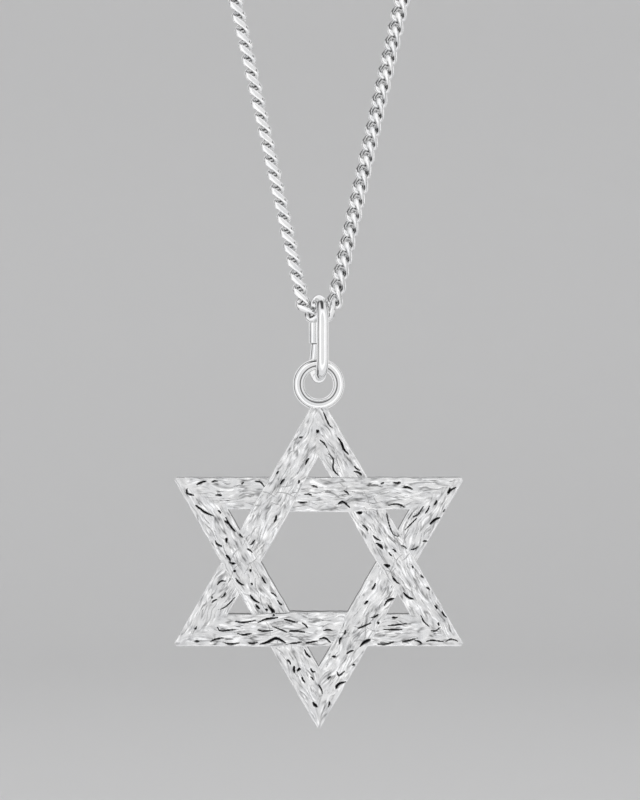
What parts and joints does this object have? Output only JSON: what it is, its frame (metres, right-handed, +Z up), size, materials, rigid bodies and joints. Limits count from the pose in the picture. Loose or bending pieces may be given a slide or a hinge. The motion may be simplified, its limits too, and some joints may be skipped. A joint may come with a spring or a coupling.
{
  "type": "star of david pendant necklace",
  "caption": "Woven six-pointed star pendant with a bark finish, soldered hanging ring and oval bail, on a fine curb chain closed by a plain round clasp.",
  "frame": {"origin": "where the necklace hangs: the underside of the clasp at the top of the loop, where it lies on the nape", "axes": "+Z up towards the clasp, the star hangs down -Z, the star's textured front faces -Y, X runs across the star"},
  "size_m": [0.0756, 0.0042, 0.239],
  "materials": {
    "bark_silver": "cast silver, chiselled bark texture, bright polished",
    "polished_silver": "round silver wire, bright polished",
    "chain_silver": "fine silver curb links, bright polished"
  },
  "bodies": {
    "necklace": {"chain": "chain_silver", "clasp": "polished_silver"},
    "bail_link": {"bail": "polished_silver"},
    "pendant": {"star": "bark_silver"}
  },
  "joints": [
    {"name": "bail_swing", "type": "hinge", "parent": "necklace", "child": "bail_link", "pos_m": [0, 0, -0.19993], "axis": [0.9781, 0.2079, 0], "range_deg": [-90, 90]},
    {"name": "star_swing", "type": "hinge", "parent": "bail_link", "child": "pendant", "pos_m": [0, 0, -0.20498], "axis": [0, 1, 0], "range_deg": [-90, 90]}
  ]
}
